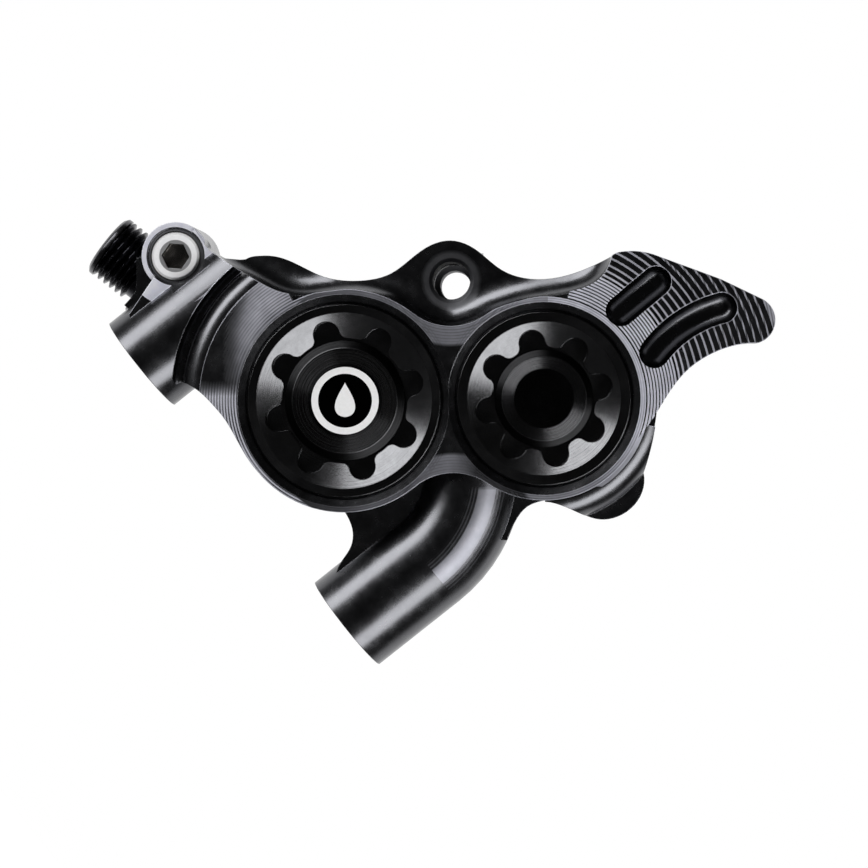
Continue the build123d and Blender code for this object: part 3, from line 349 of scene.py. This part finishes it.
def tool_lines(g, at):
    """Dark lines of the tool: round the large bore on the arm, along the necks and on the two rims."""
    arm_pitch, neck_pitch, rim_pitch = 0.29, 0.30, 0.24
    arm_wave, neck_wave, rim_wave = (-0.5, 0.7), (0.3, 0.95), (0.2, 0.9)
    neck_share, rim_share, neck_y = 0.8, 0.7, -6.1
    far_from_small, neck_width = SMALL_RIM + 8.0, (NECK + 1.4, NECK + 1.9)
    large_rim_start, small_rim_end = (LARGE_RIM - 0.55, LARGE_RIM - 0.45), SMALL_RIM + 0.08
    arm = g.rise(g.waves(at.from_large, arm_pitch), *arm_wave)
    arm = g.times(arm, at.on_arm, g.above(at.from_small, far_from_small))
    rings = []
    for distance in at.from_necks:
        ring = g.rise(g.waves(g.minus(distance, NECK), neck_pitch), *neck_wave)
        rings.append(g.times(ring, g.fall(distance, *neck_width)))
    necks = g.times(g.most(*rings), at.past_rims, g.below(at.y, neck_y), neck_share)
    on_small_rim = g.below(at.from_small, small_rim_end)
    rims = g.times(
        g.rise(g.waves(at.from_bores, rim_pitch), *rim_wave, rim_share),
        g.rise(at.from_large, *large_rim_start),
        g.most(on_small_rim, g.minus(1.0, at.on_fin)),
        g.most(on_small_rim, g.minus(1.0, at.on_arm)),
    )
    patch_scale, patch_low, patch_high = 240.0, 0.35, 0.85
    patchy = g.remap(g.noise(at.point, patch_scale, 2.0), 0.35, 0.65, patch_low, patch_high)
    return g.times(g.most(arm, rims, necks), patchy, at.off_boss)


def bend_band(g, at):
    """Band cut along the bend of the right post, with fine grooves beside it, from where the bend starts. It
    is also brightened as a painted highlight.
    """
    bend_right, bend_top = 17.0, (-8.8, -9.2)
    band_start, band_end = (0.95, 1.05), (2.75, 2.85)
    groove_pitch, groove_wave, groove_share = 0.32, (0.0, 0.5), 0.5
    groove_start, groove_end = (0.1, 0.2), (3.6, 3.7)
    outward = g.minus(g.radius(ELBOW), ELBOW_RADIUS)
    height = g.times(g.part(at.point, 2), 1 / mm)
    bend = g.times(g.above(height, ELBOW_Z), g.below(at.along, bend_right), g.rise(at.across, *bend_top))
    band = g.times(g.rise(outward, *band_start), g.fall(outward, *band_end))
    grooves = g.rise(g.waves(outward, groove_pitch), *groove_wave, groove_share)
    grooves = g.times(grooves, g.rise(outward, *groove_start), g.fall(outward, *groove_end))
    return g.times(g.most(band, grooves), bend)


def painted_light_on_bare(g, at, edge_highlight, band):
    """Painted light and shade on the bare metal: least on the left rim, most at the fin's root and on the
    boss, with painted highlights on the sharp edges and the bend's band.
    """
    left_part, left_bright, middle_painted_shade = (-9.0, 3.0), 0.10, 0.75
    right_part, right_more = (8.0, 26.0), 0.95
    root_low, root_width, root_gain, brightest = (-6.0, -3.0), (12.8, 15.0), 1.75, 2.75
    low_part, low_gain = (-6.0, -9.0), 0.7
    arm_part, arm_far, arm_near = (-11.4, -9.2), 0.40, 1.35
    arm_top, top_gain, arm_low_bright = (6.0, 11.0), 1.4, 2.5
    boss_painted_tone, band_painted_highlight, edge_painted_highlight = 3.2, 1.2, 2.2
    painted_light = g.remap(at.along, *left_part, left_bright, middle_painted_shade)
    painted_light = g.math("ADD", painted_light, g.rise(at.along, *right_part, right_more))
    fin_root = g.times(at.on_fin, g.rise(at.across, *root_low))
    painted_light = g.times(painted_light, g.blend(fin_root, 1.0, g.remap(at.from_small, *root_width, root_gain, 1.0)))
    painted_light = g.times(g.least(painted_light, brightest), g.remap(at.across, *low_part, 1.0, low_gain))
    # Painted shade on the arm: darker towards its step, lighter at its top and lower end
    arm = g.remap(at.from_step, *arm_part, arm_far, arm_near)
    arm = g.times(arm, g.remap(at.across, *arm_top, 1.0, top_gain))
    painted_light = g.blend(at.arm_left, painted_light, g.most(arm, g.times(at.arm_low, arm_low_bright)))
    # Painted highlights on the bend's band and on the sharp edges
    lines = g.most(g.times(band, band_painted_highlight), g.times(edge_highlight, edge_painted_highlight))
    return g.most(painted_light, g.times(at.on_boss, boss_painted_tone), lines)


def body_material():
    g = Graph("anodised_body")
    at = body_places(g)
    true = g.face_normal()
    facing = g.times(g.part(true, 1), -1.0)
    edge_highlight = painted_edge_highlights(g, at, true, facing)
    band = bend_band(g, at)
    edge_highlight_share, band_share = 0.8, 0.55
    faces = g.times(bare_faces(g, at, facing), g.minus(1.0, tool_lines(g, at)))
    # The bare mask also carries the painted highlights on the edges and the bend's band
    bare_and_highlights = g.most(faces, g.times(edge_highlight, edge_highlight_share), g.times(band, band_share))
    smear = g.noise(at.point, 700.0, 4.0, 0.6)
    worn = g.spread(smear, 0.0, 1.0)
    black = g.mix(worn, BLACK, BLACK_WORN)
    # Bare metal's tone, scaled by painted light and shade
    painted_bare_tone = g.scaled(g.mix(worn, BARE, BARE_LIGHT), painted_light_on_bare(g, at, edge_highlight, band))
    pin_hole, hole_rough, bare_rough, bare_metallic = (2.7, 3.2), 0.55, 0.46, 0.5
    rough = g.blend(g.fall(g.radius(PIN), *pin_hole), g.spread(smear, 0.22, 0.29), hole_rough)
    rough = g.blend(bare_and_highlights, rough, bare_rough)
    # Ball-milled walls: a faint waviness that makes the highlights ripple
    ripple = g.noise(g.vector("MULTIPLY", at.point, (1.0, 0.35, 1.0)), 420.0, 2.0)
    normal = g.bump(ripple, 0.02 * mm, 0.25, g.bevel(0.12 * mm))
    return g.finish(g.mix(bare_and_highlights, black, painted_bare_tone), g.blend(bare_and_highlights, 1.0, bare_metallic), rough, normal)


# The other pieces' materials

def cap_material(name, centre, shoulder, boss, middle, boss_painted_tone):
    """Turned black anodised cap. Shoulder, boss and middle are the radii where each of these starts."""
    g = Graph(name)
    point = g.place()
    radius = g.radius(centre)
    worn = g.spread(g.noise(point, 1200.0, 4.0, 0.6), 0.0, 1.0)
    tone = g.mix(worn, (0.098, 0.099, 0.103), (0.122, 0.123, 0.128))
    # Painted shade: the shoulder between the flat ring and the boss is darkest, and the boss and its middle
    # are darker, with a painted highlight as a fine bright edge on the boss
    shoulder_painted_shade, edge_painted_highlight, middle_painted_shade = 0.09, 0.7, 0.35
    soft, shoulder_soft, middle_soft, edge_width = 0.05, 0.06, 0.12, (0.02, 0.06)
    off_boss = g.rise(radius, boss, boss + soft)
    painted_light = g.blend(off_boss, boss_painted_tone, shoulder_painted_shade)
    boss_edge = g.fall(g.math("ABSOLUTE", g.minus(radius, boss)), *edge_width)
    painted_light = g.most(painted_light, g.times(boss_edge, edge_painted_highlight))
    painted_light = g.math("ADD", painted_light, g.rise(radius, shoulder, shoulder + shoulder_soft, 1.0 - shoulder_painted_shade))
    painted_light = g.times(painted_light, g.remap(radius, middle, middle + middle_soft, middle_painted_shade, 1.0))
    # The boss is slightly dished, and the turned lines show best on it
    dish_slope, fine_pitch, wide_pitch, wide_share, flat_share = 0.34, 0.12, 0.31, 0.8, 0.35
    dish = g.rise(radius, middle, boss, (boss - middle) * dish_slope)
    hollow = g.bump(dish, 1.0 * mm, 1.0, g.bevel(0.10 * mm))
    lines = g.math("ADD", g.waves(radius, fine_pitch), g.times(g.waves(radius, wide_pitch), wide_share))
    lines = g.times(lines, g.blend(off_boss, 1.0, flat_share))
    normal = g.bump(lines, 0.004 * mm, 1.0, hollow)
    tangent = g.node("ShaderNodeTangent", direction_type="RADIAL", axis="Y").outputs[0]
    rough = g.spread(g.noise(point, 300.0), 0.18, 0.23)
    return g.finish(g.scaled(tone, painted_light), 1.0, rough, normal, Anisotropic=0.5, Tangent=tangent)


def metal(name, dark, light, rough_low, rough_high, scale=1500.0, bump=0.003 * mm):
    g = Graph(name)
    point = g.place()
    smear = g.noise(point, scale, 4.0, 0.6)
    normal = g.bump(g.noise(point, scale * 3, 2.0), bump, 0.6, g.bevel(0.1 * mm))
    return g.finish(g.tones(smear, dark, light), 1.0, g.spread(smear, rough_low, rough_high), normal)


def screw_material():
    """Bright turned face painted near white as a painted reflection, with a grey countersink, a dark edge of
    painted shade and a hex socket darkened as painted shade.
    """
    g = Graph("bleed_screw_metal")
    socket_y, countersink, edge_painted_shade, turned_pitch = (-2.95, -2.75), (1.62, 1.68), (2.42, 2.48), 0.17
    point = g.place()
    radius = g.radius(BLEED)
    smear = g.noise(point, 1500.0, 4.0, 0.6)
    in_socket = g.rise(g.times(g.part(point, 1), 1 / mm), *socket_y)
    in_countersink = g.fall(radius, *countersink)
    # Painted reflection: the turned face is near white
    face_tone_and_reflection = g.tones(smear, (0.88, 0.88, 0.89), (0.97, 0.97, 0.98))
    face_tone_and_reflection = g.mix(in_countersink, face_tone_and_reflection, (0.42, 0.42, 0.43))
    # Painted shade: a dark edge round the face
    face_tone_and_reflection = g.mix(g.rise(radius, *edge_painted_shade), face_tone_and_reflection, (0.12, 0.12, 0.125))
    # Painted shade: the hex socket is darker
    socket = g.tones(smear, (0.20, 0.19, 0.18), (0.40, 0.38, 0.36))
    face_rough, socket_rough, countersink_metallic = 0.42, 0.25, 0.7
    normal = g.bump(g.waves(radius, turned_pitch), 0.004 * mm, 1.0, g.bevel(0.1 * mm))
    metallic = g.most(in_socket, g.times(in_countersink, countersink_metallic))
    rough = g.blend(in_socket, face_rough, socket_rough)
    return g.finish(g.mix(in_socket, face_tone_and_reflection, socket), metallic, rough, normal)


def rubber(name):
    g = Graph(name)
    speck = g.noise(g.place(), 4000.0, 3.0, 0.6)
    color = g.tones(speck, (0.010, 0.010, 0.011), (0.028, 0.028, 0.030), 0.75)
    return g.finish(color, 0.0, g.spread(speck, 0.42, 0.6), g.bump(speck, 0.02 * mm, 0.4))


def lining(name):
    """Friction lining: brown grain with flecks of brass."""
    g = Graph(name)
    point = g.place()
    grain = g.noise(point, 1800.0, 5.0, 0.7)
    cells = g.node("ShaderNodeTexVoronoi")
    g.put(cells.inputs["Vector"], point)
    cells.inputs["Scale"].default_value = 2600.0
    fleck = g.above(g.times(cells.outputs["Distance"], grain), 0.42)
    color = g.mix(fleck, g.tones(grain, (0.045, 0.036, 0.030), (0.16, 0.135, 0.11)), (0.55, 0.42, 0.25))
    return g.finish(color, g.times(fleck, 0.8), g.spread(grain, 0.65, 0.9), g.bump(grain, 0.06 * mm, 0.8))


def paint(name, light):
    g = Graph(name)
    speck = g.noise(g.place(), 3000.0, 3.0)
    dark = tuple(channel * 0.93 for channel in light)
    color = g.tones(speck, dark, light)
    return g.finish(color, 0.0, g.spread(speck, 0.35, 0.5), g.bump(speck, 0.003 * mm, 0.5))


def threaded_connector():
    """Black thread, with a painted highlight that makes the end past it a little brighter."""
    g = Graph("threaded_connector")
    smear = g.noise(g.place(), 1800.0, 4.0, 0.6)
    dark = g.tones(smear, (0.020, 0.020, 0.024), (0.045, 0.045, 0.052))
    # Painted highlight: the lighter tone of the end past the thread
    painted_light = g.tones(smear, (0.07, 0.07, 0.076), (0.10, 0.10, 0.106))
    color = g.mix(g.above(g.distance_along(PORT, PORT_OUT), 5.0), dark, painted_light)
    return g.finish(color, 1.0, g.spread(smear, 0.20, 0.32), g.bump(smear, 0.005 * mm, 0.5))


spring_steel = metal("spring_steel", (0.60, 0.60, 0.62), (0.75, 0.75, 0.76), 0.18, 0.28)
materials = {
    "caliper_body": body_material(),
    "bore_cap_large": cap_material("turned_cap_large", LARGE, 6.12, 5.33, 3.50, 0.16),
    "bore_cap_small": cap_material("turned_cap_small", SMALL, 4.98, 4.28, 3.00, 0.50),
    "bleed_screw": screw_material(),
    "pad_spring": spring_steel,
    "hose_connector": metal("black_connector", (0.016, 0.016, 0.019), (0.030, 0.030, 0.034), 0.26, 0.38),
}
by_word = {
    "seal": rubber("seal_rubber"),
    "piston": metal("piston_metal", (0.62, 0.62, 0.63), (0.74, 0.74, 0.75), 0.22, 0.32, 1200.0),
    "backplate": metal(
        "backplate_steel", (0.36, 0.36, 0.37), (0.52, 0.52, 0.53), 0.28, 0.42, 900.0, 0.008 * mm),
    "lining": lining("friction_lining"),
}
for name, obj in cad_nodes.items():
    # A piston's seal is rubber too, so the first word that fits counts
    material = materials.get(name) or next(by_word[word] for word in by_word if word in name)
    obj.data.materials.clear()
    obj.data.materials.append(material)


# Pieces made here

def add_object(name, mesh, material):
    obj = bpy.data.objects.new(name, mesh)
    bpy.context.scene.collection.objects.link(obj)
    mesh.materials.append(material)
    return obj


def new_object(name, verts, faces, material, smooth=True):
    mesh = bpy.data.meshes.new(name)
    mesh.from_pydata([tuple(v) for v in verts], [], faces)
    mesh.update()
    for poly in mesh.polygons:
        poly.use_smooth = smooth
    return add_object(name, mesh, material)


def circle(radius, steps, centre=(0.0, 0.0)):
    turns = [2 * math.pi * k / steps for k in range(steps)]
    return [(centre[0] + radius * math.cos(a), centre[1] + radius * math.sin(a)) for a in turns]


def connector():
    """Hose connector with its real thread, in place of the plain cylinder."""
    side = Vector((0.0, 1.0, 0.0))
    up = PORT_OUT.cross(side).normalized()
    steps, rings_a_turn = 72, 14
    pitch, crest, root = 0.75, 3.5, 2.98
    thread_start, thread_end, fade_in = 0.75, 4.95, 0.5
    verts, rows = [], []

    def ring(out, radius_at):
        rows.append(range(len(verts), len(verts) + steps))
        for k in range(steps):
            angle = 2 * math.pi * k / steps
            spoke = side * math.cos(angle) + up * math.sin(angle)
            verts.append(PORT + PORT_OUT * (out * mm) + spoke * (radius_at(angle, out) * mm))

    def turned(*profile):
        for out, radius in profile:
            ring(out, lambda angle, place: radius)

    def thread(angle, out):
        ramp = abs(2 * ((out / pitch + angle / (2 * math.pi)) % 1.0) - 1)
        tooth = min(1.0, max(0.0, (ramp - 0.10) / 0.72))
        fade = min(1.0, max(0.0, (out - thread_start) / fade_in))
        return root + (crest - root) * tooth * fade

    # Profile in millimetres: distance out of the port and radius
    turned((-5.0, 1.0), (-5.0, 2.3), (-4.85, 2.4), (-1.0, 2.4), (-1.0, 3.62), (-0.92, 3.7), (-0.06, 3.7))
    turned((0.0, 3.6), (0.0, 3.02))
    out = thread_start
    while out < thread_end:
        ring(out, thread)
        out += pitch / rings_a_turn
    turned((4.98, 3.05), (5.02, 3.45), (5.05, 3.5), (5.42, 3.5), (5.50, 3.44), (5.75, 3.12), (5.75, 2.78))
    turned((5.70, 2.72), (5.10, 2.12), (5.0, 2.1), (0.55, 2.1), (0.5, 2.0), (0.5, 1.0))
    faces = []
    for row, following in zip(rows, rows[1:] + rows[:1]):
        for k in range(steps):
            beside = (k + 1) % steps
            faces.append((row[k], following[k], following[beside], row[beside]))
    obj = new_object("hose_connector_thread", verts, faces, threaded_connector())
    obj.data.set_sharp_from_angle(angle=math.radians(40))
    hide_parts("hose_connector")
    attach(obj, "housing")


def mark():
    """White ring with a drop of fluid inside, on the middle of the large cap."""
    cap_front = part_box("bore_cap_large")[0].y
    middle_drop, thickness = 2.0, 0.03
    ring_radius, ring_hole, ring_steps = 3.43, 2.74, 96
    half_width, half_height, raised, taper, drop_steps = 1.45, 1.75, 0.1, 1.4, 64
    # The photo's upright is turned this much from the line square to the bores
    upright = math.radians(-0.64)
    base = cap_front + middle_drop * mm
    verts, faces = [], []

    def walls(points):
        """Two corners for each point, top and base, and the wall between them."""
        start, count = len(verts), len(points)
        for u, v in points:
            place = LARGE + U * (u * mm) + V * (v * mm)
            verts.append((place.x, base - thickness * mm, place.z))
            verts.append((place.x, base, place.z))
        return [(start + 2 * k, start + 2 * ((k + 1) % count)) for k in range(count)]

    outer = walls(circle(ring_radius, ring_steps))
    inner = walls(circle(ring_hole, ring_steps))
    for (a, b), (c, d) in zip(outer, inner):
        faces.append((a, b, d, c))
        faces.append((c, d, d + 1, c + 1))
        faces.append((a + 1, b + 1, b, a))
    points = []
    for k in range(drop_steps):
        angle = 2 * math.pi * k / drop_steps
        u = half_width * math.sin(angle) * math.sin(angle / 2) ** taper
        v = half_height * math.cos(angle) + raised
        points.append(Matrix.Rotation(upright, 2) @ Vector((u, v)))
    drop = walls(points)
    faces.append(tuple(a for a, b in drop))
    faces.extend((a + 1, b + 1, b, a) for a, b in drop)
    obj = new_object("cap_mark", verts, faces, paint("white_mark", (0.98, 0.98, 0.98)), smooth=False)
    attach(obj, "housing")


def spring():
    """Pad spring: two flat legs and the rounded fold over the top, which the pads press together."""
    near, far = (corner.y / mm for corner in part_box("pad_spring"))
    pin_u, pin_v = ((PIN - LARGE).dot(way) / mm for way in (U, V))
    hole, hole_steps = 2.2, 40
    waist, reach, top, low, leg, neck = 3.2, 11.5, 15.48, 7.3, 1.3, 0.6
    thick, fold, fold_steps = 0.4, 1.1, 12
    corner, foot = 0.5, 0.3
    mesh = bmesh.new()

    def at(u, v, y):
        place = LARGE + U * (u * mm) + V * (v * mm)
        return (place.x, y * mm, place.z)

    half_outline = [
        (waist, top - fold), (waist, low + leg + neck), (waist + neck, low + leg),
        (reach - corner, low + leg), (reach, low + leg - corner), (reach, low + foot), (reach - foot, low),
    ]
    outline = [(pin_u + u, v) for u, v in half_outline] + [(pin_u - u, v) for u, v in reversed(half_outline)]
    for start, step in ((near, thick), (far, -thick)):
        edges = []
        for loop in (outline, circle(hole, hole_steps, (pin_u, pin_v))):
            verts = [mesh.verts.new(at(u, v, start)) for u, v in loop]
            edges += [mesh.edges.new(pair) for pair in zip(verts, verts[1:] + verts[:1])]
        made = bmesh.ops.triangle_fill(mesh, edges=edges, use_beauty=True)
        sheet = [item for item in made["geom"] if isinstance(item, bmesh.types.BMFace)]
        grown = bmesh.ops.extrude_face_region(mesh, geom=sheet, use_keep_orig=True)
        moved = [item for item in grown["geom"] if isinstance(item, bmesh.types.BMVert)]
        bmesh.ops.translate(mesh, verts=moved, vec=(0, step * mm, 0))
    # Fold: a strip bent over two quarter circles
    rows = []
    for offset in (0.0, thick):
        row = []
        for centre_y, first in ((near + fold, 180), (far - fold, 90)):
            for k in range(fold_steps + 1):
                angle = math.radians(first - 90 * k / fold_steps)
                y = centre_y + (fold - offset) * math.cos(angle)
                v = top - fold + (fold - offset) * math.sin(angle)
                row.append([mesh.verts.new(at(pin_u + side * waist, v, y)) for side in (-1, 1)])
        rows.append(row)
    outer, inner = rows
    for k in range(len(outer) - 1):
        mesh.faces.new((outer[k][0], outer[k][1], outer[k + 1][1], outer[k + 1][0]))
        mesh.faces.new((inner[k][1], inner[k][0], inner[k + 1][0], inner[k + 1][1]))
        for end in (0, 1):
            mesh.faces.new((outer[k][end], outer[k + 1][end], inner[k + 1][end], inner[k][end]))
    bmesh.ops.recalc_face_normals(mesh, faces=mesh.faces)
    data = bpy.data.meshes.new("pad_spring_strip")
    mesh.to_mesh(data)
    mesh.free()
    for poly in data.polygons:
        poly.use_smooth = True
    data.set_sharp_from_angle(angle=math.radians(35))
    obj = add_object("pad_spring_strip", data, spring_steel)
    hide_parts("pad_spring")
    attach(obj, "housing")
    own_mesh(obj)


connector()
mark()
spring()


# Camera at the photograph's place, with its roll, and two softboxes on its side

scene = bpy.context.scene
right = Vector((0.62119, 0.03080, 0.78305))
up = Vector((-0.78362, 0.01404, 0.62109))
front = Vector((-0.00814, 0.99943, -0.03286))
eye = Vector((0.01004, -0.3362, 0.03012))


def turned_to(x_way, y_way, z_way, place):
    """Matrix of an object at a place, with its own axes along three ways."""
    return Matrix([(*axes, offset) for *axes, offset in zip(x_way, y_way, z_way, place)] + [(0, 0, 0, 1)])


def photo_camera():
    data = bpy.data.cameras.new("camera")
    data.sensor_fit = "HORIZONTAL"
    data.sensor_width = 36.0
    data.lens = 135.9
    data.clip_start = 0.01
    data.clip_end = 20.0
    obj = bpy.data.objects.new("camera", data)
    obj.matrix_world = turned_to(right, up, -front, eye)
    scene.collection.objects.link(obj)
    scene.camera = obj


def softbox(name, off_axis, azimuth, power):
    """Softbox seen from the object this far off the camera's axis, at an angle round it from the right."""
    target = Vector((0.003, 0.005, 0.022))
    distance, width, height = 0.6, 0.62, 0.30
    a = math.radians(off_axis)
    phi = math.radians(azimuth)
    way = -front * math.cos(a) + (right * math.cos(phi) + up * math.sin(phi)) * math.sin(a)
    side = front.cross(way).normalized()
    data = bpy.data.lights.new(name, "AREA")
    data.shape = "RECTANGLE"
    data.size = width
    data.size_y = height
    data.energy = power
    obj = bpy.data.objects.new(name, data)
    obj.matrix_world = turned_to(side, way.cross(side).normalized(), way, target + way * distance)
    scene.collection.objects.link(obj)


photo_camera()
softbox("key_upper_left", 58.0, 128.0, 3.0)
softbox("fill_lower_right", 50.0, -50.0, 2.75)


def pale_floor():
    """Floor well below the posts: white to the camera, and behind the object also in what metal mirrors."""
    near_y, far_y, near_share = 0.05, 0.30, 0.15
    glow, depth, half_side = 0.97, 0.45, 2
    g = Graph("pale_floor")
    point = g.place()
    path = g.node("ShaderNodeLightPath").outputs
    y = g.part(point, 1)
    tone = g.tones(g.noise(point, 6.0, 2.0), (0.50, 0.50, 0.50), (0.54, 0.54, 0.54))
    tone = g.scaled(tone, g.most(path["Is Camera Ray"], g.remap(y, near_y, far_y, near_share, 1.0)))
    mirrored = g.times(g.most(path["Is Glossy Ray"], path["Is Transmission Ray"]), g.rise(y, near_y, far_y))
    light = g.node("ShaderNodeEmission")
    light.inputs["Color"].default_value = (1.0, 1.0, 1.0, 1.0)
    g.put(light.inputs["Strength"], g.times(g.most(path["Is Camera Ray"], mirrored), glow))
    g.finish(tone, 0.0, 0.6)
    both = g.node("ShaderNodeAddShader")
    g.put(both.inputs[0], g.output.inputs["Surface"].links[0].from_socket)
    g.put(both.inputs[1], light.outputs[0])
    g.put(g.output.inputs["Surface"], both.outputs[0])
    corners = [(x * half_side, y * half_side, -depth) for x, y in ((-1, -1), (1, -1), (1, 1), (-1, 1))]
    new_object("floor", corners, [(0, 1, 2, 3)], g.material, smooth=False)


def studio_world():
    """White to the camera, and behind the object also in what metal mirrors. The room in front stays dim."""
    mirror_start, mirror_full, dim_room = 0.15, 0.5, 0.02
    world = bpy.data.worlds.new("studio")
    scene.world = world
    world.use_nodes = True
    nodes = world.node_tree.nodes
    nodes.clear()

    def add(kind, operation=None, **inputs):
        node = nodes.new(kind)
        if operation:
            node.operation = operation
        for key, value in inputs.items():
            socket = node.inputs[int(key[1:])] if key[1:].isdigit() else node.inputs[key.replace("_", " ")]
            if isinstance(value, bpy.types.NodeSocket):
                world.node_tree.links.new(value, socket)
            else:
                socket.default_value = value
        return node

    path = add("ShaderNodeLightPath").outputs
    way = add("ShaderNodeTexCoord").outputs["Generated"]
    along = add("ShaderNodeVectorMath", "DOT_PRODUCT", i0=way, i1=tuple(front)).outputs["Value"]
    behind = add("ShaderNodeMapRange", From_Min=mirror_start, From_Max=mirror_full, Value=along)
    behind.interpolation_type = "SMOOTHSTEP"
    mirrored = add("ShaderNodeMath", "MAXIMUM", i0=path["Is Glossy Ray"], i1=path["Is Transmission Ray"])
    mirrored = add("ShaderNodeMath", "MULTIPLY", i0=mirrored.outputs[0], i1=behind.outputs["Result"])
    seen = add("ShaderNodeMath", "MAXIMUM", i0=path["Is Camera Ray"], i1=mirrored.outputs[0])
    strength = add("ShaderNodeMath", "MAXIMUM", i0=seen.outputs[0], i1=dim_room)
    light = add("ShaderNodeBackground", Color=(1.0, 1.0, 1.0, 1.0), Strength=strength.outputs[0])
    add("ShaderNodeOutputWorld", Surface=light.outputs[0])


pale_floor()
studio_world()
scene.view_settings.view_transform = "Standard"
